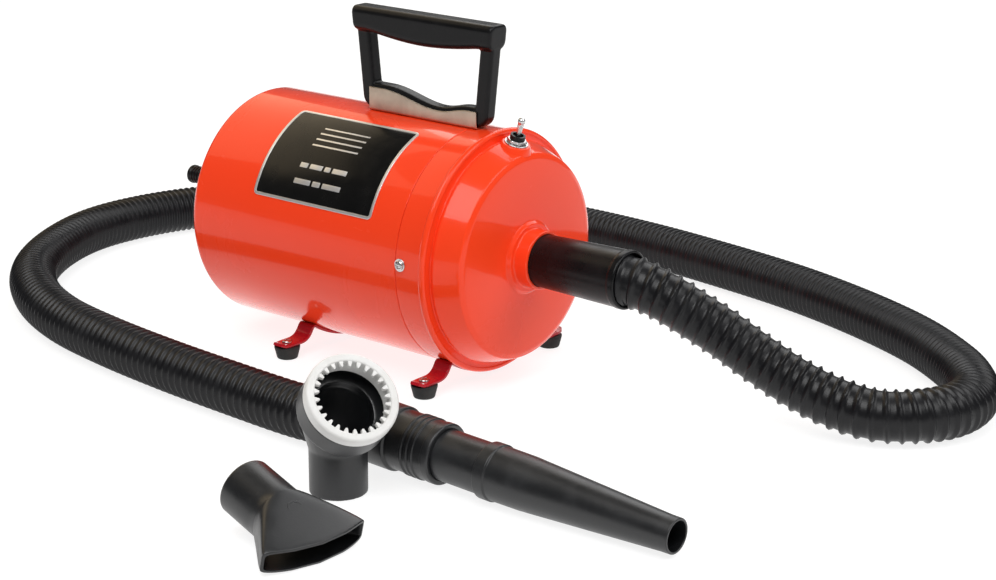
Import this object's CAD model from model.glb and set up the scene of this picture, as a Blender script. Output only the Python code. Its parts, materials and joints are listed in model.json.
import json
import math

import bmesh
import bpy
import numpy as np
from mathutils import Matrix, Vector


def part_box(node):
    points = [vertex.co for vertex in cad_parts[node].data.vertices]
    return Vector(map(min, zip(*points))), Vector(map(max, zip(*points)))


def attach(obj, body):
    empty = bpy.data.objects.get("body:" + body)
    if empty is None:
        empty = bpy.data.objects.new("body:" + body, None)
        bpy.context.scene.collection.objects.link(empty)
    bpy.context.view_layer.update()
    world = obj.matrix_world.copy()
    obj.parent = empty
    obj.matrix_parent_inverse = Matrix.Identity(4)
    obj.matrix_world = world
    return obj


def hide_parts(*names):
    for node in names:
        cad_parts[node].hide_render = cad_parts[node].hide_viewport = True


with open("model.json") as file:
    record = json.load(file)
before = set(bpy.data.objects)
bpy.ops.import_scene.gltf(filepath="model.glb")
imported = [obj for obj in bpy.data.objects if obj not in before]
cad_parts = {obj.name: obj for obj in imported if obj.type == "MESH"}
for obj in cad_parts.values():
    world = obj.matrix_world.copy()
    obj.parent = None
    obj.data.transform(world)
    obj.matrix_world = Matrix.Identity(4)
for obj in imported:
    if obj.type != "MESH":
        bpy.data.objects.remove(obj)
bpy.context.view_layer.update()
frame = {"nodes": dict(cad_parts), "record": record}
nodes = frame["nodes"]
mm = 0.001      # every size below is in millimetres, and meshes are written in metres
print("frame loaded:", len(nodes), "nodes")


cameraView = {
    "place": (1153.5, -1335.7, 606.3),
    "look": (92.3, -12.7, 74.2),
    "roll": 0.29,       # degrees
    "lens": 82.4,
}


def makeCamera():
    place = Vector(cameraView["place"])
    back = (place - Vector(cameraView["look"])).normalized()
    right = Vector((0, 0, 1)).cross(back).normalized()
    up = back.cross(right)
    turn = math.radians(cameraView["roll"])
    across = right * math.cos(turn) + up * math.sin(turn)
    above = up * math.cos(turn) - right * math.sin(turn)
    lens = bpy.data.cameras.new("camera")
    lens.lens = cameraView["lens"]
    lens.sensor_width = 36
    lens.clip_end = 60
    camera = bpy.data.objects.new("camera", lens)
    facing = Matrix((across, above, back)).transposed().to_4x4()
    camera.matrix_world = Matrix.Translation(place * mm) @ facing
    bpy.context.scene.collection.objects.link(camera)
    bpy.context.scene.camera = camera


makeCamera()


def newPiece(name, points, faces, sharp=38):
    mesh = bpy.data.meshes.new(name)
    mesh.from_pydata((np.asarray(points, float) * mm).tolist(), [], faces)
    return finished(name, mesh, sharp)


def finished(name, mesh, sharp=38):
    shape = bmesh.new()
    shape.from_mesh(mesh)
    bmesh.ops.remove_doubles(shape, verts=shape.verts, dist=2e-6)
    bmesh.ops.recalc_face_normals(shape, faces=shape.faces)
    shape.to_mesh(mesh)
    shape.free()
    mesh.shade_smooth()
    mesh.set_sharp_from_angle(angle=math.radians(sharp))
    piece = bpy.data.objects.new(name, mesh)
    bpy.context.scene.collection.objects.link(piece)
    return piece


# Joins rings of points into a closed skin, with flat ends unless the last ring meets the first.
def skinData(rings, loop=False):
    rings = np.asarray(rings, float)
    count, around = rings.shape[:2]
    faces = []
    for i in range(count if loop else count - 1):
        j = (i + 1) % count
        for k in range(around):
            n = (k + 1) % around
            faces.append((i * around + k, i * around + n, j * around + n, j * around + k))
    if not loop:
        faces.append(tuple(range(around))[::-1])
        faces.append(tuple((count - 1) * around + k for k in range(around)))
    return rings.reshape(-1, 3), faces


def skin(name, rings, loop=False, sharp=38):
    return newPiece(name, *skinData(rings, loop), sharp)


# Several skins in one mesh.
def skins(name, parts, sharp=38):
    points, faces = [], []
    for partPoints, partFaces in parts:
        faces += [tuple(len(points) + v for v in face) for face in partFaces]
        points += [tuple(p) for p in partPoints]
    return newPiece(name, points, faces, sharp)


def placed(place, points):
    points = np.asarray(points, float)
    turn = np.array(place.to_3x3())
    return points @ turn.T + np.array(place.translation)


# Rounds the corners of a closed outline: each corner is (x, y) or (x, y, radius).
def rounded(corners, step=12):
    outline = []
    count = len(corners)
    for i, corner in enumerate(corners):
        here = np.array(corner[:2], float)
        radius = corner[2] if len(corner) > 2 else 0
        before = np.array(corners[i - 1][:2], float) - here
        after = np.array(corners[(i + 1) % count][:2], float) - here
        reach = min(np.linalg.norm(before), np.linalg.norm(after))
        before /= np.linalg.norm(before)
        after /= np.linalg.norm(after)
        half = math.acos(max(-1, min(1, before @ after))) / 2
        if radius <= 0 or half > 1.5:
            outline.append(tuple(here))
            continue
        cut = min(radius / math.tan(half), 0.98 * reach)
        radius = cut * math.tan(half)
        centre = here + (before + after) / np.linalg.norm(before + after) * radius / math.sin(half)
        start = here + before * cut - centre
        end = here + after * cut - centre
        sweep = math.pi - 2 * half
        pieces = max(2, math.ceil(math.degrees(sweep) / step))
        for k in range(pieces + 1):
            t = k / pieces
            mixed = (math.sin((1 - t) * sweep) * start + math.sin(t * sweep) * end) / math.sin(sweep)
            outline.append(tuple(centre + mixed))
    return outline


def lathePoints(profile, place, sides):
    angles = np.arange(sides) * 2 * math.pi / sides
    return [placed(place, np.stack([r * np.cos(angles), r * np.sin(angles), np.full(sides, s)], 1))
            for s, r in profile]


# Turns an outline of (along, radius) about local Z. A closed outline makes a ring.
def lathe(name, profile, place, sides=128, loop=True, sharp=38):
    return skin(name, lathePoints(profile, place, sides), loop, sharp)


# A flat piece with rounded edges, cut to outlines of which the later ones are holes.
def plate(name, outlines, thickness, edge, place, sharp=38):
    sheet = bpy.data.curves.new(name, "CURVE")
    sheet.dimensions = "2D"
    sheet.fill_mode = "BOTH"
    sheet.extrude = (thickness / 2 - edge) * mm
    sheet.bevel_depth = edge * mm
    sheet.bevel_resolution = 2
    sheet.offset = -edge * mm
    for number, outline in enumerate(outlines):
        points = np.asarray(outline, float) * mm
        area = np.sum(points[:, 0] * np.roll(points[:, 1], -1) - np.roll(points[:, 0], -1) * points[:, 1])
        if (area > 0) != (number == 0):
            points = points[::-1]
        line = sheet.splines.new("POLY")
        line.points.add(len(points) - 1)
        for spot, point in zip(line.points, points):
            spot.co = (point[0], point[1], 0, 1)
        line.use_cyclic_u = True
    holder = bpy.data.objects.new(name + "Curve", sheet)
    bpy.context.scene.collection.objects.link(holder)
    bpy.context.view_layer.update()
    mesh = bpy.data.meshes.new_from_object(holder.evaluated_get(bpy.context.evaluated_depsgraph_get()))
    bpy.data.objects.remove(holder)
    mesh.transform(Matrix.Translation(place.translation * mm) @ place.to_3x3().to_4x4())
    return finished(name, mesh, sharp)


def applied(piece, sharp=38):
    bpy.context.view_layer.update()
    mesh = bpy.data.meshes.new_from_object(piece.evaluated_get(bpy.context.evaluated_depsgraph_get()))
    name = piece.name
    bpy.data.objects.remove(piece)
    return finished(name, mesh, sharp)


# Overlapping solids in one mesh, or a rough solid, made over as one smooth moulding with soft corners.
def eased(piece, voxel, rounds):
    even = piece.modifiers.new("even", "REMESH")
    even.mode = "VOXEL"
    even.voxel_size = voxel * mm
    ease = piece.modifiers.new("ease", "SMOOTH")
    ease.factor = 0.5
    ease.iterations = rounds
    return applied(piece, 80)


def joined(piece, other):
    both = bmesh.new()
    both.from_mesh(piece.data)
    both.from_mesh(other.data)
    both.to_mesh(piece.data)
    both.free()
    bpy.data.objects.remove(other)
    return piece


def turnAbout(axis, degrees):
    return Matrix.Rotation(math.radians(degrees), 4, axis)


def along(x, y, z):
    return Matrix.Translation((x, y, z))


# Local Z runs from a point in a given direction.
def aimed(point, direction):
    return Matrix.Translation(point) @ Vector(direction).to_track_quat("Z", "Y").to_matrix().to_4x4()


def nodeBox(name):
    low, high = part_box(name)
    return low / mm, high / mm


def mix(a, b, t):
    return a + (b - a) * t


# A node's output, so that sums and products of outputs and numbers make Math nodes.
class Wire:
    def __init__(self, finish, socket):
        self.finish = finish
        self.socket = socket

    def maths(self, operation, first, second):
        return self.finish.node("Math", {"operation": operation}, {0: first, 1: second})

    def __add__(self, other):
        return self.maths("ADD", self, other)

    def __sub__(self, other):
        return self.maths("SUBTRACT", self, other)

    def __rsub__(self, other):
        return self.maths("SUBTRACT", other, self)

    def __mul__(self, other):
        return self.maths("MULTIPLY", self, other)

    __radd__ = __add__
    __rmul__ = __mul__


# One material: its constants go straight on the shader, and the rest is fed by nodes.
class Finish:
    def __init__(self, name, constants):
        self.material = bpy.data.materials.new(name)
        self.material.use_nodes = True
        self.tree = self.material.node_tree
        self.shader = self.tree.nodes["Principled BSDF"]
        for socket, value in constants.items():
            self.shader.inputs[socket].default_value = value
        self.place = self.node("TexCoord", {}, {}, "Object")

    def node(self, kind, settings, sockets, out=0):
        made = self.tree.nodes.new("ShaderNode" + kind)
        for key, value in settings.items():
            if key == "stops":
                for k, (spot, shade) in enumerate(value):
                    stop = made.color_ramp.elements[k] if k < 2 else made.color_ramp.elements.new(spot)
                    stop.position = spot
                    stop.color = (shade, shade, shade, 1)
            else:
                setattr(made, key, value)
        for key, value in sockets.items():
            self.feed(made.inputs[key], value)
        return Wire(self, made.outputs[out])

    def feed(self, socket, value):
        if isinstance(value, Wire):
            self.tree.links.new(value.socket, socket)
        else:
            socket.default_value = value

    def set(self, socket, value):
        self.feed(self.shader.inputs[socket], value)

    def stretched(self, scale, turn=(0, 0, 0)):
        return self.node("Mapping", {}, {"Vector": self.place, "Scale": scale, "Rotation": turn})

    def noise(self, scale, detail=4, rough=0.55, place=None, warp=0):
        return self.node("TexNoise", {}, {"Vector": place or self.place, "Scale": scale, "Detail": detail,
                                          "Roughness": rough, "Distortion": warp})

    def cells(self, scale, out="Distance"):
        return self.node("TexVoronoi", {"feature": "F1"}, {"Vector": self.place, "Scale": scale}, out)

    def bands(self, direction, sockets):
        return self.node("TexWave", {"bands_direction": direction}, sockets, "Fac")

    def ramp(self, value, *stops):
        return self.node("ValToRGB", {"stops": stops}, {0: value})

    def tint(self, factor, first, second):
        return self.node("Mix", {"data_type": "RGBA"}, {0: factor, 6: colour(first), 7: colour(second)}, 2)

    def bump(self, height):
        self.set("Normal", self.node("Bump", {}, {"Height": height, "Distance": 1.0, "Strength": 1.0}))


def colour(value):
    return value if isinstance(value, Wire) else (*value, 1)


enamelLook = {"peel": 260, "peelDepth": 0.000010, "ripple": 14, "rippleDepth": 0.00022, "smudge": 11}


# Stoved enamel on sheet steel: orange peel, a slow ripple of the sheet, wiped-over smudges and fine grit.
def enamel(name, deep, bright):
    paint = Finish(name, {"Coat Roughness": 0.035, "Coat IOR": 1.27, "Specular IOR Level": 0.12})
    cloud = paint.noise(6, 3)
    smudge = paint.ramp(paint.noise(enamelLook["smudge"], 6, 0.6, warp=0.8), (0.42, 0), (0.72, 1))
    grit = paint.ramp(paint.cells(420), (0.035, 1), (0.06, 0))
    sparse = paint.ramp(paint.noise(60, 2), (0.64, 0), (0.7, 1))
    speck = grit * sparse
    body = paint.tint(cloud, deep, bright)
    paint.set("Base Color", paint.tint(speck * 0.35, body, tuple(0.45 * part for part in deep)))
    paint.set("Roughness", 0.2 + smudge * 0.14 + speck * 0.2)
    paint.set("Coat Weight", 1 - smudge * 0.1 - speck * 0.4)
    peel = paint.noise(enamelLook["peel"], 2) * enamelLook["peelDepth"]
    ripple = paint.noise(enamelLook["ripple"], 1) * enamelLook["rippleDepth"]
    paint.bump(peel + ripple)
    return paint.material


# Moulded plastic: spark grain, streaks of dust, rubbed patches that shine more, and fine scratches.
def moulded(name, dark, dusty, rough, grain, grainDepth, dust=0.5, shine=0.5):
    cast = Finish(name, {"Specular IOR Level": shine})
    cloud = cast.noise(22, 5, 0.6)
    worn = cast.ramp(cast.noise(45, 6, 0.65, warp=0.4), (0.45, 0), (0.75, 1))
    scratchWay = cast.stretched((1, 0.06, 1), (0.4, 0.7, 0.5))
    scratch = cast.ramp(cast.noise(240, 3, 0.6, scratchWay), (0.66, 0), (0.74, 1))
    body = cast.tint(cloud, dark, tuple(1.35 * part for part in dark))
    cast.set("Base Color", cast.tint(worn * dust + scratch * 0.2, body, dusty))
    cast.set("Roughness", rough + cloud * 0.1 + worn * 0.12 - scratch * 0.1)
    height = cast.noise(grain, 3, 0.6) * grainDepth - scratch * 0.00002
    cast.bump(height)
    return cast.material


# Brushed or drawn metal: fine lines along one direction, dull patches and small pits.
def brushed(name, bright, dull, rough, lines=(6, 60, 60)):
    bare = Finish(name, {"Metallic": 1.0})
    stroke = bare.noise(28, 5, 0.7, bare.stretched(lines))
    patch = bare.noise(38, 4, 0.6, warp=0.5)
    sparse = bare.ramp(bare.noise(120, 2), (0.58, 0), (0.66, 1))
    pit = bare.ramp(bare.cells(900), (0.05, 1), (0.09, 0)) * sparse
    bare.set("Base Color", bare.tint(bare.ramp(patch, (0.35, 0), (0.75, 1)), bright, dull))
    bare.set("Roughness", rough + stroke * 0.14 + patch * 0.1 + pit * 0.2)
    bare.bump(stroke * 0.000006 - pit * 0.00002)
    return bare.material


# Zinc-coated sheet with its spangle of crystals.
def galvanised(name):
    zinc = Finish(name, {"Metallic": 1.0})
    crystal = zinc.node("SeparateColor", {}, {0: zinc.cells(160, "Color")})
    streak = zinc.noise(90, 4, 0.6)
    zinc.set("Base Color", zinc.tint(crystal, (0.42, 0.43, 0.45), (0.66, 0.67, 0.68)))
    zinc.set("Roughness", 0.3 + crystal * 0.2 + streak * 0.1)
    zinc.bump(streak * 0.00002)
    return zinc.material


# Stacked iron sheets seen on edge, with a film of varnish and rust at some of the joints.
def laminated(name):
    iron = Finish(name, {"Metallic": 0.9})
    sheets = iron.bands("X", {"Vector": iron.place, "Scale": 320.0, "Distortion": 0.4})
    rust = iron.ramp(iron.noise(70, 5), (0.55, 0), (0.7, 1))
    body = iron.tint(sheets, (0.09, 0.09, 0.1), (0.28, 0.28, 0.3))
    iron.set("Base Color", iron.tint(rust * 0.5, body, (0.16, 0.07, 0.03)))
    iron.set("Roughness", 0.38 + rust * 0.25)
    iron.bump(sheets * 0.00008)
    return iron.material


# Varnished turns of enamelled wire that lie along the coil.
def wound(name):
    wire = Finish(name, {"Metallic": 0.75, "Coat Weight": 0.6, "Coat Roughness": 0.12})
    turns = wire.bands("Y", {"Vector": wire.stretched((0.1, 1, 1)), "Scale": 260.0, "Distortion": 1.5,
                             "Detail": 2.0, "Detail Scale": 3.0})
    varnish = wire.noise(50, 4)
    body = wire.tint(turns, (0.16, 0.05, 0.015), (0.62, 0.25, 0.09))
    wire.set("Base Color", wire.tint(varnish, body, (0.3, 0.1, 0.03)))
    wire.set("Roughness", 0.25 + varnish * 0.2)
    wire.bump(turns * 0.0003)
    return wire.material


# Open-cell foam: dark pores between pale struts.
def foam(name):
    pad = Finish(name, {"Specular IOR Level": 0.2, "Sheen Weight": 0.3})
    pore = pad.ramp(pad.cells(650), (0.1, 0), (0.55, 1))
    lint = pad.ramp(pad.noise(60, 6, 0.7), (0.5, 0), (0.7, 1))
    body = pad.tint(pore, (0.006, 0.006, 0.007), (0.055, 0.056, 0.06))
    pad.set("Base Color", pad.tint(lint * 0.4, body, (0.2, 0.19, 0.17)))
    pad.set("Roughness", 0.9 - lint * 0.1)
    pad.bump(pore * 0.0008)
    return pad.material


def rubber(name, dark, dusty):
    return moulded(name, dark, dusty, 0.62, 700, 0.00006, 0.6, 0.3)


def makeFinishes():
    return {
        "orange_enamel": enamel("orangeEnamel", (0.93, 0.050, 0.011), (0.99, 0.064, 0.016)),
        "crimson_enamel": enamel("crimsonEnamel", (0.36, 0.006, 0.014), (0.48, 0.010, 0.020)),
        "black_plastic": moulded("blackPlastic", (0.004, 0.004, 0.0045), (0.022, 0.022, 0.023),
                                 0.22, 520, 0.00004, 0.25, 0.22),
        "handle_plastic": moulded("handlePlastic", (0.0035, 0.0035, 0.004), (0.018, 0.018, 0.019),
                                  0.24, 420, 0.00003, 0.25, 0.2),
        "hose_plastic": moulded("hosePlastic", (0.005, 0.005, 0.006), (0.026, 0.026, 0.028),
                                0.26, 620, 0.00005, 0.3, 0.3),
        "tool_plastic": moulded("toolPlastic", (0.006, 0.0065, 0.0075), (0.026, 0.027, 0.030),
                                0.3, 560, 0.00004, 0.3, 0.62),
        "white_plastic": moulded("whitePlastic", (0.66, 0.655, 0.64), (0.60, 0.58, 0.54),
                                 0.38, 420, 0.00004, 0.5),
        "nickel": brushed("satinNickel", (0.60, 0.51, 0.41), (0.42, 0.35, 0.28), 0.3),
        "plate_black": moulded("plateBlack", (0.003, 0.003, 0.003), (0.012, 0.012, 0.012),
                               0.16, 900, 0.00001, 0.2, 0.22),
        "plate_silver": brushed("plateSilver", (0.82, 0.82, 0.83), (0.70, 0.70, 0.71), 0.3, (60, 6, 60)),
        "screw_steel": brushed("screwSteel", (0.74, 0.74, 0.74), (0.5, 0.5, 0.5), 0.14, (40, 40, 40)),
        "foot_rubber": rubber("footRubber", (0.013, 0.013, 0.013), (0.06, 0.058, 0.055)),
        "gasket_rubber": rubber("gasketRubber", (0.018, 0.018, 0.018), (0.07, 0.065, 0.06)),
        "filter_foam": foam("filterFoam"),
        "zinc_steel": galvanised("zincSteel"),
        "fan_aluminium": brushed("fanAluminium", (0.80, 0.81, 0.83), (0.62, 0.63, 0.66), 0.3),
        "lamination_steel": laminated("laminationSteel"),
        "copper_winding": wound("copperWinding"),
        "brass": brushed("brass", (0.78, 0.56, 0.24), (0.52, 0.34, 0.13), 0.26),
        "carbon": moulded("carbon", (0.02, 0.02, 0.021), (0.07, 0.07, 0.07), 0.55, 900, 0.00008, 0.6, 0.35),
        "lead_insulation": moulded("leadInsulation", (0.012, 0.012, 0.013), (0.05, 0.05, 0.05),
                                   0.42, 700, 0.00003, 0.4),
    }


finishes = makeFinishes()
for part in frame["record"]["subparts"]:
    slots = nodes[part["node"]].data.materials
    while len(slots) == 0:
        slots.append(None)
    for k in range(len(slots)):
        slots[k] = finishes[part["material_slot"]]
print("finishes made:", len(finishes))


def fit(piece, slot, body, *standsFor):
    piece.data.materials.clear()
    piece.data.materials.append(finishes[slot])
    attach(piece, body)
    if standsFor:
        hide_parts(*standsFor)
    return piece


hose = {
    "radius": 20.5,
    "wall": 2.4,
    "groove": 2.3,          # height of the wire rib over the wall
    "ribHalf": 2.5,         # half the width of a rib
    "sides": 36,
    "ribSteps": 10,
    # how far apart the ribs stand at a distance along the hose: pulled open where it hangs
    "pitch": [(0, 8.5), (60, 9.6), (230, 9.6), (330, 6.6), (480, 5.8), (1300, 5.8), (1550, 7.2),
              (2100, 7.6)],
    "route": [
        (190, 0, 102), (212, 1, 101), (234, 8, 93), (256, 18, 80), (278, 28, 66), (302, 36, 51),
        (330, 44, 36), (360, 50, 26), (390, 58, 21), (416, 76, 21), (430, 104, 21), (428, 136, 21),
        (410, 166, 21), (382, 194, 21), (330, 230, 21), (260, 262, 21), (180, 288, 21), (90, 306, 21),
        (0, 318, 21), (-90, 320, 21), (-180, 306, 21), (-264, 278, 21), (-336, 232, 21), (-388, 172, 21),
        (-418, 104, 21), (-424, 32, 21), (-402, -36, 21), (-360, -98, 21), (-304, -142, 21),
        (-240, -170, 21), (-170, -185, 21), (-90, -195, 21), (-10, -201, 21), (56, -204, 21),
        (96, -205, 23.6), (122, -205, 25.2), (142, -205, 24.9),
    ],
}


def smoothRoute(route, steps):
    ends = [route[0], *route, route[-1]]
    points = np.array(ends, float)
    line = []
    for a, b, c, d in zip(points, points[1:], points[2:], points[3:]):
        for k in range(steps):
            t = k / steps
            line.append(0.5 * (2 * b + (c - a) * t + (2 * a - 5 * b + 4 * c - d) * t * t
                               + (3 * b - a - 3 * c + d) * t ** 3))
    return np.array([*line, points[-1]])


def makeHose():
    line = smoothRoute(hose["route"], 60)
    length = np.concatenate([[0], np.cumsum(np.linalg.norm(np.diff(line, axis=0), axis=1))])
    fine = np.arange(0, length[-1], 0.2)
    pitch = np.interp(fine, *zip(*hose["pitch"]))
    turns = np.concatenate([[0], np.cumsum(0.2 / pitch[:-1])])
    steps = int(turns[-1] * hose["ribSteps"])
    turn = np.arange(steps + 1) / hose["ribSteps"]
    spot = np.interp(turn, turns, fine)
    centre = np.stack([np.interp(spot, length, line[:, k]) for k in range(3)], 1)
    heading = np.gradient(centre, axis=0)
    heading /= np.linalg.norm(heading, axis=1)[:, None]
    side = np.cross(heading, (0, 0, 1))
    side /= np.linalg.norm(side, axis=1)[:, None]
    above = np.cross(side, heading)
    part = np.arange(hose["sides"]) / hose["sides"]
    angle = part * 2 * math.pi
    phase = turn[:, None] + part[None, :]      # the rib is one long helix
    away = np.abs(phase - np.round(phase)) * np.interp(spot, *zip(*hose["pitch"]))[:, None]
    swell = 0.5 + 0.5 * np.cos(np.pi * np.clip(away / hose["ribHalf"], 0, 1))
    radius = hose["radius"] - hose["groove"] * (1 - swell)
    out = np.cos(angle)[None, :, None] * side[:, None] + np.sin(angle)[None, :, None] * above[:, None]
    outside = centre[:, None] + radius[:, :, None] * out
    sparse = list(range(steps, -1, -5))
    if sparse[-1] != 0:
        sparse.append(0)
    inside = centre[sparse, None] + (hose["radius"] - hose["groove"] - hose["wall"]) * out[sparse]
    piece = skin("ribbed_hose", np.concatenate([outside, inside]), True, 60)
    return piece, centre[::hose["ribSteps"]], length[-1]


hosePiece, hoseLine, hoseLength = makeHose()
fit(hosePiece, "hose_plastic", "machine", "hose")
print("hose made: %.0f mm" % hoseLength)


shellLow, shellHigh = nodeBox("canister_shell")
canister = {
    "radius": (shellHigh.y - shellLow.y) / 2,
    "axisHigh": (shellLow.z + shellHigh.z) / 2,
    "rear": shellLow.x,
    "seam": nodeBox("front_cap")[0].x,
    "wall": 1.2,
    "rearRound": 7,
    "intakeRim": 29.5,
    "joggle": 22,           # the shell's reduced end inside the cap
    "capLength": 55,
    "skirt": 26,
    "bead": 2.8,
    "step": 6,
    "capRound": 19,
    "creaseIn": 7.6,        # how far the cap's cone draws in before the crease round its face
    "emboss": 27.5,
    "collar": 15,
    "collarRadius": 23.1,
    "collarBore": 20.55,
}
radius = canister["radius"]
axisHigh = canister["axisHigh"]
seam = canister["seam"]
rear = canister["rear"]
face = seam + canister["capLength"]


def onAxis(x):
    return along(x, 0, axisHigh) @ turnAbout("Y", 90)


machineCuff = {
    "length": 81, "insert": 14, "plug": 20.5, "start": 20.7, "end": 22.35, "lip": 22.85, "lipLong": 5,
    "bore": 17.5, "socket": 20.56, "socketDeep": 20,
}


def makeMachineCuff():
    c = machineCuff
    outlet = c["length"]
    lip = outlet - c["lipLong"]
    socket = outlet - c["socketDeep"]
    profile = rounded([
        (-c["insert"], c["plug"], 1), (3, c["plug"], 0.4), (3, c["start"], 1.2), (lip - 2, c["end"], 1),
        (lip, c["lip"], 1), (outlet, c["lip"], 1.6), (outlet, c["socket"], 0.8), (socket, c["socket"]),
        (socket, c["bore"]), (-c["insert"], c["bore"], 0.8),
    ])
    return lathe("machine_cuff_sleeve", profile, onAxis(face + canister["collar"]))


fit(makeMachineCuff(), "black_plastic", "machine", "machine_cuff")

toolLine = {"start": (122, -205, 25.697), "dip": 2.3}     # where the hose enters its cuff, and the slope down
toolCuff = {
    "length": 80, "wide": 23.75, "wideLong": 39, "narrow": 21.85, "lip": 22.3, "lipLong": 7,
    "socket": 20.56, "stop": (26, 40), "bore": 16.9, "plugBore": 18.65, "ribs": 3, "ribStart": 54,
    "ribPitch": 5, "ribHigh": 0.9,
}
connector = {"start": 40.1, "end": 134, "radius": 18.54, "bore": 16.94}
narrowNozzle = {
    "start": 118, "length": 156, "bore": 18.6, "collar": 20.5, "collarLong": 9, "coneStart": (34, 19.3, 17.4),
    "tip": (148, 12.6, 10.6),
}


def onTool(s=0):
    return along(*toolLine["start"]) @ turnAbout("Y", 90 + toolLine["dip"]) @ along(0, 0, s)


def makeToolCuff():
    c = toolCuff
    narrow, rib, end = c["narrow"], c["narrow"] + c["ribHigh"], c["length"]
    lip = end - c["lipLong"]
    deep, plugEnd = c["stop"]
    outline = [(0, c["wide"], 1.6), (c["wideLong"], c["wide"], 1.8), (c["wideLong"] + 1, narrow, 0.5)]
    for k in range(c["ribs"]):
        s = c["ribStart"] + c["ribPitch"] * k
        outline += [(s - 0.3, narrow, 0.4), (s + 0.1, rib, 0.5), (s + 1.9, rib, 0.5), (s + 2.3, narrow, 0.4)]
    outline += [(lip, narrow, 0.5), (lip + 0.6, c["lip"], 0.4), (end, c["lip"], 1.6),
                (end, c["plugBore"], 0.6), (plugEnd, c["plugBore"]), (plugEnd, c["bore"]), (deep, c["bore"]),
                (deep, c["socket"]), (0, c["socket"], 0.8)]
    return lathe("tool_cuff_sleeve", rounded(outline), onTool())


def makeConnector():
    c = connector
    outline = [(c["start"], c["radius"], 0.8), (c["end"], c["radius"], 1), (c["end"], c["bore"], 0.5),
               (c["start"], c["bore"], 0.5)]
    return lathe("connector_sleeve", rounded(outline), onTool())


def makeNarrowNozzle():
    n = narrowNozzle
    end, collarEnd = n["length"], n["collarLong"]
    coneStart, wide, wideBore = n["coneStart"]
    tipStart, tip, tipBore = n["tip"]
    outline = [
        (0, n["bore"], 0.5), (0, n["collar"], 1), (collarEnd, n["collar"], 0.9),
        (collarEnd + 1.2, wide + 0.25, 0.8), (coneStart, wide, 40), (tipStart, tip, 30),
        (end, tip - 0.1, 0.8), (end, tipBore, 0.6),
        (tipStart, tipBore, 20), (coneStart, wideBore, 30), (21, 17.8, 1), (20, n["bore"], 0.5),
    ]
    return lathe("narrow_nozzle_shell", rounded(outline, 3), onTool(n["start"]))


hoseFittings = [
    fit(makeToolCuff(), "tool_plastic", "machine", "tool_cuff"),
    fit(makeConnector(), "tool_plastic", "machine", "connector_tube"),
]
fit(makeNarrowNozzle(), "tool_plastic", "nozzle", "narrow_nozzle")
print("cuffs and nozzle made")


def makeShell():
    c = canister
    wall = c["wall"]
    end = seam - rear
    seat = radius - wall - 0.05
    rim = radius - c["intakeRim"]
    outline = rounded([
        (0, rim, 0.5), (0, radius, c["rearRound"]), (end - 0.25, radius, 0.7), (end - 0.25, seat, 0.3),
        (end + c["joggle"], seat, 0.4), (end + c["joggle"], seat - wall, 0.4), (end - 2.6, seat - wall, 1),
        (end - 3.8, radius - wall, 1), (wall, radius - wall, c["rearRound"] - wall), (wall, rim, 0.5),
    ], 6)
    return lathe("canister_drum", outline, onAxis(rear), 256)


# The cap slips over the drum, with a bead rolled round it and a dished front that stands out at the outlet.
def makeCap():
    c = canister
    wall = c["wall"]
    skirt, front, outlet = c["skirt"], c["capLength"], c["capLength"] + c["collar"]
    band = radius - c["step"]
    crease = band - c["creaseIn"]
    emboss = c["emboss"]
    neck, bore = c["collarRadius"], c["collarBore"]
    turns = [math.radians(a) for a in range(165, -41, -9)]
    bead = [(skirt + c["bead"] * math.cos(a), radius - 0.6 + c["bead"] * math.sin(a)) for a in turns]
    outside = [
        (0.25, radius, 0.5), *bead, (skirt + 2.9, band - 1.4, 0.9), (skirt + 4.6, band - 0.6, 1.2),
        (skirt + 6.2, band + 0.3, 2.5), (front - 3.4, crease, 2.2), (front - 1.6, crease - 4, 8),
        (front, crease - 24, 60), (front, emboss + 1.6, 1.6), (front + 3, emboss - 0.6, 1.3),
        (front + 3, neck, 1.4), (outlet, neck, 1.1), (outlet, bore, 0.6),
    ]
    inside = [
        (front - wall, bore, 0.6), (front - wall, crease - 24, 60),
        (front - 1.6 - wall, crease - 4 - wall, 6), (front - 3.4 - wall, crease - wall, 1.5),
        (skirt + wall, band - 1.4 - wall, 1), (skirt + wall, radius - wall, 1), (0.25, radius - wall, 0.4),
    ]
    return lathe("canister_cap", rounded(outside + inside, 5), onAxis(seam), 256)


fit(makeShell(), "orange_enamel", "machine", "canister_shell")
fit(makeCap(), "orange_enamel", "machine", "front_cap")

screwHead = {"radius": 3.8, "height": 2.2, "shank": 2.0, "slot": 0.85}
capScrews = {"from": 5, "angles": (60, 176.5, 318), "washer": 5.2, "washerThick": 0.9, "long": 6}


# A domed screw with a cross pressed into its head. It stands on local Z = 0.
def crossScrew(name, place, shankLength, size=screwHead):
    r, h = size["radius"], size["height"]
    shank = size["shank"]
    profile = [(-shankLength, shank - 0.5), (-shankLength + 0.6, shank), (0, shank), (0, r), (0.5, r)]
    dome = [math.radians(a) for a in range(12, 89, 4)]
    profile += [(0.5 + (h - 0.5) * math.sin(a), r * math.cos(a)) for a in dome]
    sides = 72
    angles = np.arange(sides) * 2 * math.pi / sides
    rings = []
    for s, ring in profile:
        x, y = ring * np.cos(angles), ring * np.sin(angles)
        inCross = (np.minimum(abs(x), abs(y)) < size["slot"] / 2) & (ring < 0.66 * r) & (s > 0.5)
        rings.append(placed(place, np.stack([x, y, s - 0.9 * inCross * (1 - 0.5 * ring / r)], 1)))
    return skin(name, rings)


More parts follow.
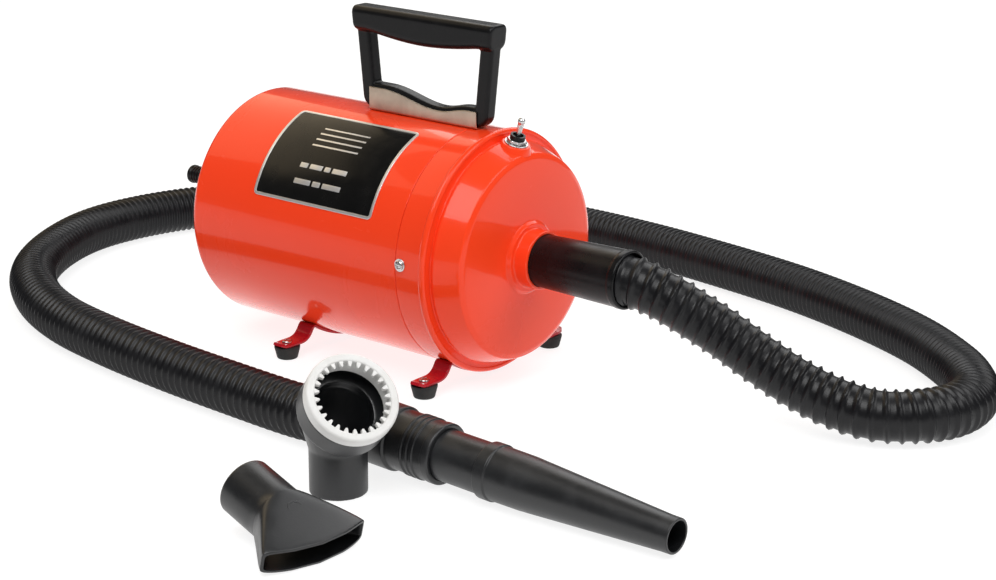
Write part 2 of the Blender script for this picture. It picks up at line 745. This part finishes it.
def makeCapScrews():
    c = capScrews
    pieces = []
    for number, angle in enumerate(c["angles"]):
        foot = along(seam + c["from"], 0, axisHigh) @ turnAbout("X", angle) @ along(0, radius, 0)
        place = foot @ turnAbout("X", -90)
        wide, top = c["washer"], 0.05 + c["washerThick"]
        pieces.append(crossScrew("cap_screw_%d" % number, place @ along(0, 0, top + 0.05), c["long"]))
        ring = rounded([(0.05, 2.2), (0.05, wide, 0.4), (top, wide - 0.2, 0.4), (top, 2.2, 0.3)])
        pieces.append(lathe("cap_washer_%d" % number, ring, place, 64))
    for number, piece in enumerate(pieces):
        fit(piece, "screw_steel", "machine", *(["cap_screws"] if number == 0 else []))


makeCapScrews()
print("canister made")


plateShape = {
    "start": seam - 154.5, "length": 125, "low": 20.6, "high": 72, "rim": 2.4, "corner": 3, "fieldHigh": 0.6,
    "rimHigh": 0.9, "printHigh": 0.7, "stripes": 4, "stripeLong": 48, "stripeThick": 1.5,
    "words": ((0.34, (8, 13, 6, 15)), (0.18, (17, 8, 19))), "wordHigh": 4.2, "wordGap": 2.4,
}


# A point on the drum: along it, up round it in millimetres, and out from its surface.
def onDrum(x, up, out):
    angle = np.asarray(up) / radius
    r = radius + np.asarray(out)
    return np.stack(np.broadcast_arrays(x, -r * np.cos(angle), axisHigh + r * np.sin(angle)), -1)


# A thin patch bent to the drum, with rounded corners and edges.
def drumPatch(x0, x1, up0, up1, out0, out1, corner):
    edge = (out1 - out0) * 0.4
    steps = max(6, int((up1 - up0) / 1.5))
    turn = [corner * (1 - math.cos(math.radians(a))) for a in range(0, 91, 18)]
    spread = sorted({*(up0 + t for t in turn), *(up1 - t for t in turn),
                     *np.linspace(up0 + corner, up1 - corner, steps)})
    rings = []
    for up in spread:
        near = min(up - up0, up1 - up)
        cut = 0 if near >= corner else corner - math.sqrt(max(0, corner ** 2 - (corner - near) ** 2))
        a, b = x0 + cut, x1 - cut
        section = rounded([(a, out0), (b, out0), (b, out1, edge), (a, out1, edge)], 30)
        rings.append(onDrum([p[0] for p in section], up, [p[1] for p in section]))
    return skinData(rings)


def makeNameplate():
    p = plateShape
    up0, up1 = radius * math.radians(p["low"]), radius * math.radians(p["high"])
    x0, x1 = p["start"], p["start"] + p["length"]
    inset = p["rim"] + 0.05
    field = drumPatch(x0 + inset, x1 - inset, up0 + inset, up1 - inset, 0.05, p["fieldHigh"], 1.2)
    fit(skins("nameplate_field", [field]), "plate_black", "machine", "nameplate")
    half = p["rim"] / 2
    loop = rounded([(x0 + half, up0 + half, p["corner"]), (x1 - half, up0 + half, p["corner"]),
                    (x1 - half, up1 - half, p["corner"]), (x0 + half, up1 - half, p["corner"])], 15)
    fine = []
    for a, b in zip(loop, loop[1:] + loop[:1]):     # short steps, so that the rim bends with the drum
        count = max(1, int(math.dist(a, b) / 2))
        fine += [(mix(a[0], b[0], k / count), mix(a[1], b[1], k / count)) for k in range(count)]
    fine = np.array(fine)
    way = np.roll(fine, -1, 0) - np.roll(fine, 1, 0)
    way /= np.linalg.norm(way, axis=1)[:, None]
    outward = np.stack([way[:, 1], -way[:, 0]], 1)
    high = p["rimHigh"]
    section = rounded([(-half, 0.05), (half, 0.05), (half, high, 0.35), (-half, high, 0.35)], 30)
    rings = [onDrum(spot[0] + normal[0] * np.array([s[0] for s in section]),
                    spot[1] + normal[1] * np.array([s[0] for s in section]), [s[1] for s in section])
             for spot, normal in zip(fine, outward)]
    fit(skin("nameplate_rim", rings, True), "plate_silver", "machine", "nameplate_frame")
    # plain stripes and blocks take the place of the printed words
    height = up1 - up0
    middle = (x0 + x1) / 2
    bars = []
    under, over = p["fieldHigh"], p["printHigh"]
    for k in range(p["stripes"]):
        low = up0 + height * (0.58 + 0.07 * k)
        reach = p["stripeLong"] / 2
        bars.append(drumPatch(middle - reach, middle + reach, low, low + p["stripeThick"], under, over, 0.3))
    for start, words in p["words"]:
        x = middle - (sum(words) + p["wordGap"] * (len(words) - 1)) / 2
        low = up0 + height * start
        for word in words:
            bars.append(drumPatch(x, x + word, low, low + p["wordHigh"], under, over, 0.6))
            x += word + p["wordGap"]
    fit(skins("nameplate_stripes", bars), "plate_silver", "machine")


makeNameplate()
print("nameplate made")


handleShape = {
    "middle": seam + 15.5 - 63, "topWidth": 144, "footWidth": 126, "rise": 83, "thick": 12, "gripThick": 21,
    "gripHigh": 20, "bar": 15, "leg": 13, "wave": 9.5, "bow": 5, "bracketThick": 1.6, "bracketHigh": 19,
}
handleFoot = axisHigh + radius + 1.7
handleTop = axisHigh + radius + handleShape["rise"]


# The wave in the bracket's upper edge: a high shoulder at the rear, and a hollow ahead of the middle.
def waveAt(u):
    dip = handleShape["wave"]
    if u < 0.12:
        return 0
    if u < 0.66:
        return -dip * (1 - math.cos((u - 0.12) / 0.54 * math.pi)) / 2
    if u < 0.92:
        return -dip * (0.55 + 0.45 * (1 + math.cos((u - 0.66) / 0.26 * math.pi)) / 2)
    return -dip * 0.55


def halfWidth(z):
    h = handleShape
    return mix(h["footWidth"], h["topWidth"], (z - handleFoot) / (handleTop - handleFoot)) / 2


def makeHandle():
    h = handleShape
    upright = along(h["middle"], 0, 0) @ turnAbout("X", 90)
    foot = h["footWidth"] / 2
    wide = halfWidth(handleTop)
    tuck = 0.4      # the loop ends just inside the grip
    outline = rounded([(wide - tuck, handleTop - tuck, 2), (tuck - wide, handleTop - tuck, 2),
                       (-foot, handleFoot, 10), (foot, handleFoot, 10)], 8)
    z0 = handleFoot + h["bar"] + h["wave"] * 0.55
    z1 = handleTop - h["gripHigh"]
    inside = z1 + h["gripHigh"] / 2
    inLow, inHigh = halfWidth(z0) - h["leg"], halfWidth(z1) - h["leg"]
    bottom = [(inLow * (2 * u - 1), z0 + waveAt(u)) for u in np.linspace(0, 1, 33)]
    top = [(halfWidth(inside) - h["leg"], inside), (h["leg"] - halfWidth(inside), inside)]
    frameLoop = plate("carry_handle", [outline, bottom + top], h["thick"], 2.2, upright)
    rings = []
    for u in [-1, -0.993, -0.98, *np.linspace(-0.95, 0.95, 41), 0.98, 0.993, 1]:
        soft = {1: 1.6, 0.993: 0.5, 0.98: 0.1}.get(abs(u), 0)
        low = z1 - h["bow"] * math.cos(min(1, abs(u) * wide / inHigh) * math.pi / 2)
        wide0 = h["gripThick"] / 2 - soft
        section = rounded([(-wide0, low + soft, 6), (wide0, low + soft, 6), (wide0, handleTop - soft, 5.5),
                           (-wide0, handleTop - soft, 5.5)], 10)
        rings.append([(h["middle"] + u * halfWidth(z), y, z) for y, z in section])
    grip = skin("gripBar", rings)
    return eased(joined(frameLoop, grip), 0.8, 3)


def makeBracket():
    h = handleShape
    start = h["middle"] - 0.44 * h["footWidth"]
    length = 0.875 * h["footWidth"]
    base = axisHigh + radius + 0.05
    inside = h["thick"] / 2 + 0.05
    outside = inside + h["bracketThick"]
    floor = base + h["bracketThick"]
    rings = []
    for u in [0, 0.003, *np.linspace(0.01, 0.99, 61), 0.997, 1]:
        soft = {0: 0.35, 1: 0.35}.get(u, 0)
        top = base + h["bracketHigh"] + waveAt(u) - soft
        section = rounded([
            (-outside + soft, base + soft, 2.2), (outside - soft, base + soft, 2.2),
            (outside - soft, top, 0.6), (inside + soft, top, 0.6), (inside + soft, floor - soft, 0.9),
            (-inside - soft, floor - soft, 0.9), (-inside - soft, top, 0.6), (-outside + soft, top, 0.6),
        ], 15)
        rings.append([(start + u * length, y, z) for y, z in section])
    return skin("handle_channel", rings)


fit(makeHandle(), "handle_plastic", "machine", "handle")
fit(makeBracket(), "nickel", "machine", "handle_bracket")
print("handle made")


switch = {
    "tilt": 16, "pad": 0.4, "washer": 9.5, "flat": 7.0, "nutHigh": (1.1, 3.7), "bushing": 6.0, "lever": 18.5,
    "pivot": 1.5, "pivotBall": 4.2, "ball": 3.0,
}


def onSwitch():
    bend = canister["capRound"]
    centre = along(face - bend, 0, axisHigh + radius - canister["step"] - bend)
    return centre @ turnAbout("Y", switch["tilt"]) @ along(0, 0, bend + switch["pad"])


def makeSwitch():
    s = switch
    boss = rounded([(-5.5, 6.1), (-5.5, 13.5), (-3.2, 12.6, 2), (0, 11.2, 0.9), (0, 6.1, 0.3)])
    fit(lathe("switch_boss", boss, onSwitch(), 96), "orange_enamel", "machine")
    hole = s["bushing"] + 0.1
    washer = rounded([(0.05, hole), (0.05, s["washer"], 0.3), (1.0, s["washer"], 0.45), (1.0, hole, 0.2)])
    fit(lathe("switch_lock_washer", washer, onSwitch(), 96), "screw_steel", "machine", "switch_washer")
    sides = 96
    angles = np.arange(sides) * 2 * math.pi / sides
    hexagon = s["flat"] / np.cos((angles + math.pi / 6) % (math.pi / 3) - math.pi / 6)
    low, high = s["nutHigh"]
    rings = []
    # the corners are turned off at both ends of the nut
    turned = [(low, 1.03), (low + 0.4, 2), (high - 0.6, 2), (high - 0.1, 1.01), (high, 0.96),
              (high, 0), (low, 0)]
    for z, cap in turned:
        r = np.maximum(np.minimum(hexagon, s["flat"] * cap), s["bushing"] + 0.05)
        rings.append(np.stack([r * np.cos(angles), r * np.sin(angles), np.full(sides, z)], 1))
    nut = skin("switch_hex_nut", [placed(onSwitch(), ring) for ring in rings], True, 25)
    fit(nut, "screw_steel", "machine", "switch_nut")
    low, high = ([math.radians(a) for a in turn] for turn in (range(-85, 68, 10), range(-35, 86, 10)))
    bat = [(s["pivot"] + s["pivotBall"] * math.sin(a), s["pivotBall"] * math.cos(a)) for a in low]
    bat += [(s["pivot"] + 4.6, 1.75), (s["lever"] - 5, 2.35), (s["lever"] - 3.4, 2.45)]
    bat += [(s["lever"] + s["ball"] * math.sin(a), s["ball"] * math.cos(a)) for a in high]
    lever = lathe("toggle_bat", bat, onSwitch(), 48, False, 60)
    fit(lever, "screw_steel", "toggle", "toggle_lever")


makeSwitch()
print("switch made")


foot = {
    "x": (nodeBox("rear_foot_strap")[0].x + nodeBox("rear_foot_strap")[1].x) / -2,
    "y": 79, "strapWide": 16, "strapThick": 2.5, "padHigh": 10.5, "padRadius": 10.5, "cradle": 33,
}


def strapLine():
    f = foot
    r = radius + f["strapThick"] / 2 + 0.05
    ledge = f["padHigh"] + f["strapThick"] / 2 + 0.05
    a = math.radians(f["cradle"])
    start = np.array([r * math.sin(a), axisHigh - r * math.cos(a)])
    knee = start + 7 * np.array([math.cos(a), math.sin(a)])
    shelf = np.array([f["y"] - 9, ledge])
    ankle = shelf - (14, 0)
    line = [(r * math.sin(d), axisHigh - r * math.cos(d)) for d in np.radians(range(0, f["cradle"] - 2, 3))]
    for k in range(17):
        t = k / 16
        near, far = 1 - t, t
        line.append(tuple(near ** 3 * start + 3 * near ** 2 * far * knee + 3 * near * far ** 2 * ankle
                          + far ** 3 * shelf))
    end = f["y"]
    line += [(end - 4, ledge), (end, ledge), (end + 4, ledge)]
    line += [(end + 8, ledge + 0.5), (end + 11, ledge + 1.9)]
    return [(-y, z) for y, z in line[:0:-1]] + line


def makeStrap(name, x):
    f = foot
    line = np.array(strapLine())
    way = np.gradient(line, axis=0)
    way /= np.linalg.norm(way, axis=1)[:, None]
    normal = np.stack([-way[:, 1], way[:, 0]], 1)
    half, thick = f["strapWide"] / 2, f["strapThick"] / 2
    rings = []
    for k, (spot, out) in enumerate(zip(line, normal)):
        end = min(k, len(line) - 1 - k)
        narrow = (3.5, 1.2, 0.2)[end] if end < 3 else 0
        wide = half - narrow
        corners = [(-wide, -thick, 0.7), (wide, -thick, 0.7), (wide, thick, 0.7), (-wide, thick, 0.7)]
        section = rounded(corners, 22)
        rings.append([(x + a, spot[0] + out[0] * b, spot[1] + out[1] * b) for a, b in section])
    return skin(name, rings)


def makeFeet():
    f = foot
    fit(makeStrap("rear_strap", -f["x"]), "crimson_enamel", "machine", "rear_foot_strap")
    fit(makeStrap("front_strap", f["x"]), "crimson_enamel", "machine", "front_foot_strap")
    r, h = f["padRadius"], f["padHigh"]
    profile = [(0, 3), (0, r - 3.1), (0.3, r - 2.4), (0.9, r - 2.0), (4.5, r - 1.1), (h - 2.6, r - 0.25),
               (h - 1.6, r), (h - 0.5, r), (h - 0.1, r - 0.4), (h, r - 0.9), (h, 3)]
    number = 0
    for sx in (-1, 1):
        for sy in (-1, 1):
            spot = along(sx * f["x"], sy * f["y"], 0)
            pad = lathe("rubber_foot_%d" % number, profile, spot, 64, True)
            screw = crossScrew("foot_screw_%d" % number, spot @ along(0, 0, h + f["strapThick"] + 0.1), 8,
                               {**screwHead, "radius": 4.0})
            fit(pad, "foot_rubber", "machine", *(["rubber_feet"] if number == 0 else []))
            fit(screw, "screw_steel", "machine", *(["foot_screws"] if number == 0 else []))
            number += 1


makeFeet()
print("feet made")


intake = {
    "flange": 69.0, "lip": 65.35, "lipThick": 2.2, "depth": 12, "plate": 3.0, "slots": 4, "firstSlot": 16,
    "slotPitch": 13, "slotWide": 7, "slotSpan": 74,
}
gland = {
    "base": 8.5, "body": 7.1, "groove": 6.2, "reliefs": 4, "reliefPitch": 3, "end": 20, "nose": 7.6,
    "bore": 4.2,
}


# A slot that runs round part of a ring, with round ends.
def ringSlot(mid, wide, start, span):
    half = wide / 2

    def arc(size, angles, centre=(0, 0)):
        return [(centre[0] + size * math.cos(a), centre[1] + size * math.sin(a)) for a in angles]

    def tip(angle, turn):
        return arc(half, np.linspace(turn, turn + math.pi, 9)[1:-1] + angle, arc(mid, [angle])[0])

    sweep = np.linspace(start, start + span, 24)
    return [*arc(mid + half, sweep), *tip(start + span, 0),
            *arc(mid - half, sweep[::-1]), *tip(start, math.pi)]


def makeIntakeCover():
    i = intake
    edge = np.radians(range(0, 360, 2))
    outer = np.stack([i["flange"] * np.cos(edge), i["flange"] * np.sin(edge)], 1)
    holes = []
    for ring in range(i["slots"]):
        mid = i["firstSlot"] + ring * i["slotPitch"] - i["slotWide"] / 2
        for quarter in range(4):
            start = math.radians(90 * quarter + (90 - i["slotSpan"]) / 2)
            holes.append(ringSlot(mid, i["slotWide"], start, math.radians(i["slotSpan"])))
    middle = onAxis(rear - i["plate"] / 2 - 0.025)
    grille = plate("intake_grille", [outer, *holes], i["plate"] - 0.05, 0.7, middle)
    inner = i["lip"] - i["lipThick"]
    deep = i["depth"]
    section = rounded([(-0.1, i["lip"]), (deep, i["lip"], 0.8), (deep, inner, 0.6), (-0.1, inner)])
    lip = lathe("intake_lip", section, onAxis(rear), 160)
    fit(grille, "black_plastic", "intake_cover", "filter_cover")
    fit(lip, "black_plastic", "intake_cover")


def makeGland():
    low, high = nodeBox("cord_gland")
    place = along(rear, (low.y + high.y) / 2, (low.z + high.z) / 2) @ turnAbout("Y", 90)
    g = gland
    outline = [(14, 3.2), (14, 7.5, 0.5), (-0.05, 7.5), (-0.05, g["base"], 0.4), (-2.5, g["base"], 0.8),
               (-2.7, 7.3, 0.3)]
    for k in range(g["reliefs"]):      # relief grooves round the sleeve
        s = -4.2 - g["reliefPitch"] * k
        outline += [(s, g["body"] + 0.1, 0.3), (s - 0.5, g["groove"], 0.4), (s - 1.4, g["groove"], 0.4),
                    (s - 1.9, g["body"], 0.3)]
    end = -g["end"]
    outline += [(end + 3.8, g["body"], 0.4), (end + 3, g["nose"], 0.6), (end, g["nose"], 1.4),
                (end, g["bore"], 0.8), (-4, g["bore"]), (-4, 3.2)]
    fit(lathe("mains_gland", rounded(outline), place, 64), "black_plastic", "machine", "cord_gland")


makeIntakeCover()
makeGland()
print("rear made")


groomer = {
    "stand": (150, -260, 0), "turn": -23, "lift": 43, "headHigh": 71.5, "ahead": 20, "ring": 33, "bore": 27,
    "ringThick": 9, "sleeve": 6, "teeth": 26, "voxel": 0.75,
}


def onHead():
    g = groomer
    return (along(*g["stand"]) @ turnAbout("Z", g["turn"]) @ along(g["ahead"], 0, g["headHigh"])
            @ turnAbout("Y", 90 - g["lift"]))


def makeGroomer():
    g = groomer
    solid = finished("groomer_moulding", nodes["groomer_body"].data.copy())
    fit(eased(solid, g["voxel"], 10), "tool_plastic", "groomer", "groomer_body")
    bore = g["bore"]
    ring, top = g["ring"], g["ringThick"] - 0.05
    profile = rounded([(0.05, ring, 0.6), (top, ring, 2.2), (top, bore, 1.4), (-g["sleeve"], bore - 0.8, 0.5),
                       (-g["sleeve"], ring - 1.9, 0.5), (0.05, ring - 1.65)], 10)
    parts = [skinData(lathePoints(profile, onHead(), 160), True)]
    for k in range(g["teeth"]):
        place = onHead() @ turnAbout("Z", 360 / g["teeth"] * k)
        rings = []
        for reach, wide in ((1.2, 2.1), (-0.2, 1.7), (-2.2, 1.15), (-3.3, 0.85), (-3.7, 0.4)):
            low, high = 4.6 - wide * 0.2, 7.4 + wide * 0.4
            corners = [(-wide, low, 0.4), (wide, low, 0.4), (wide, high, 0.4), (-wide, high, 0.4)]
            section = rounded(corners, 30)
            rings.append(placed(place, [(bore + reach, y, z) for y, z in section]))
        parts.append(skinData(rings))
    fit(skins("comb_ring_teeth", parts), "white_plastic", "groomer", "comb_ring")


flare = {
    "place": (146.5, -347), "turn": -8.5, "neck": 37, "length": 74.5, "bulge": 9, "mouthWide": 83.5,
    "mouthThick": 17,
    "radius": 20.5, "wall": 1.9, "sides": 96,
}


def onFlare():
    f = flare
    dip = math.atan((f["radius"] - f["mouthThick"] / 2) / (f["length"] + f["bulge"] - f["neck"]))
    high = f["neck"] * math.sin(dip) + f["radius"] * math.cos(dip) + 0.1
    return along(*f["place"], high) @ turnAbout("Z", f["turn"]) @ turnAbout("Y", math.degrees(dip))


# One ring of the flare nozzle: round at the neck, and a bulging slot with round corners at the mouth.
def flareRing(x, t, inset):
    f = flare
    ease = t * t * (3 - 2 * t) * 0.35 + t * 0.65
    wide = mix(f["radius"], f["mouthWide"] / 2, ease) - inset
    high = mix(f["radius"], f["mouthThick"] / 2, t) - inset
    power = 2 / mix(2, 8, t ** 0.9)
    angles = np.arange(f["sides"]) * 2 * math.pi / f["sides"]
    c, s = np.cos(angles), np.sin(angles)
    y = wide * np.sign(c) * np.abs(c) ** power
    z = high * np.sign(s) * np.abs(s) ** power
    bulge = f["bulge"] * (1 - (y / (f["mouthWide"] / 2)) ** 2) * t ** 2
    return np.stack([x + bulge, y, z], 1)


def makeFlare():
    f = flare
    slope = f["length"] - f["neck"]
    neck, end, wall = f["neck"], f["length"], f["wall"]
    stations = [(0.6, 0, 0), (2, 0, 0), (neck - 6, 0, 0)]
    stations += [(neck + slope * t, t, 0) for t in (0, 0.02, 0.05, *np.linspace(0.1, 0.98, 22))]
    stations += [(end - 0.5, 1, 0), (end - 0.1, 1, 0.25), (end, 1, 0.7)]
    stations += [(end, 1, wall - 0.2), (end - 0.6, 1, wall)]
    stations += [(neck + slope * t, t, wall) for t in np.linspace(0.97, 0.05, 18)]
    stations += [(26, 0, wall + 1.4), (25.8, 0, wall), (1, 0, wall), (0, 0, wall - 0.5), (0, 0, 0.5)]
    place = onFlare()
    shell = skin("flare_nozzle_shell", [placed(place, flareRing(*row)) for row in stations], True, 50)
    fit(shell, "tool_plastic", "flare", "flare_nozzle")
    x = f["neck"] + 0.42 * slope
    high = mix(f["radius"], f["mouthThick"] / 2, 0.42)
    tilt = math.degrees(math.atan((f["radius"] - f["mouthThick"] / 2) / slope))
    spot = place @ along(x, 0, high) @ turnAbout("Y", tilt)
    mark = rounded([(-0.6, 4.6), (-0.6, 6.2), (0.35, 6.2, 0.3), (0.35, 4.6, 0.3)], 20)
    fit(lathe("flare_mould_mark", mark, spot, 64), "tool_plastic", "flare")


makeGroomer()
makeFlare()
print("loose tools made")


studio = {
    "floor": 9.0,
    "floorGlow": 0.84,      # the floor is a lit white table, so that shadows stay pale
    "world": 0.12,
    # each softbox: degrees round from -Y towards +X, degrees up, metres away, size, power and colour
    "back": (-95, 40, 2.2, (2.6, 1.1), 11, (1.0, 0.8, 0.52)),
    "rear": (-165, 44, 2.8, (2.8, 1.9), 36, (1.0, 1.0, 1.0)),
    "front": (22, 56, 2.6, (1.8, 1.6), 46, (1.0, 1.0, 1.0)),
    "right": (105, 40, 2.6, (1.6, 1.4), 24, (1.0, 1.0, 1.0)),
}


def makeFloor():
    size = studio["floor"]
    mesh = bpy.data.meshes.new("floor")
    corners = [(-size, -size), (size, -size), (size, size), (-size, size)]
    mesh.from_pydata([(x, y, -0.0003) for x, y in corners], [], [(0, 1, 2, 3)])
    floor = bpy.data.objects.new("floor", mesh)
    bpy.context.scene.collection.objects.link(floor)
    paper = Finish("floorPaper", {"Specular IOR Level": 0.1, "Emission Color": (1, 1, 1, 1),
                                  "Emission Strength": studio["floorGlow"]})
    fibre = paper.noise(90, 4)
    paper.set("Base Color", paper.tint(fibre, (0.26, 0.26, 0.26), (0.28, 0.28, 0.28)))
    paper.set("Roughness", 0.7 + fibre * 0.1)
    mesh.materials.append(paper.material)


def softbox(name):
    turn, rise, away, size, power, tone = studio[name]
    turn, rise = math.radians(turn), math.radians(rise)
    way = Vector((math.sin(turn) * math.cos(rise), -math.cos(turn) * math.cos(rise), math.sin(rise)))
    lamp = bpy.data.lights.new(name, "AREA")
    lamp.shape = "RECTANGLE"
    lamp.size, lamp.size_y = size
    lamp.energy = power
    lamp.color = tone
    holder = bpy.data.objects.new(name, lamp)
    holder.matrix_world = aimed(Vector((0, 0, 0.1)) + way * away, way)
    bpy.context.scene.collection.objects.link(holder)


def makeLight():
    world = bpy.data.worlds.new("studio")
    bpy.context.scene.world = world
    world.use_nodes = True
    world.node_tree.nodes["Background"].inputs["Color"].default_value = (1, 1, 1, 1)
    world.node_tree.nodes["Background"].inputs["Strength"].default_value = studio["world"]
    for name in ("back", "rear", "front", "right"):
        softbox(name)
    bpy.context.scene.view_settings.view_transform = "Standard"


makeFloor()
makeLight()
print("floor and light made")
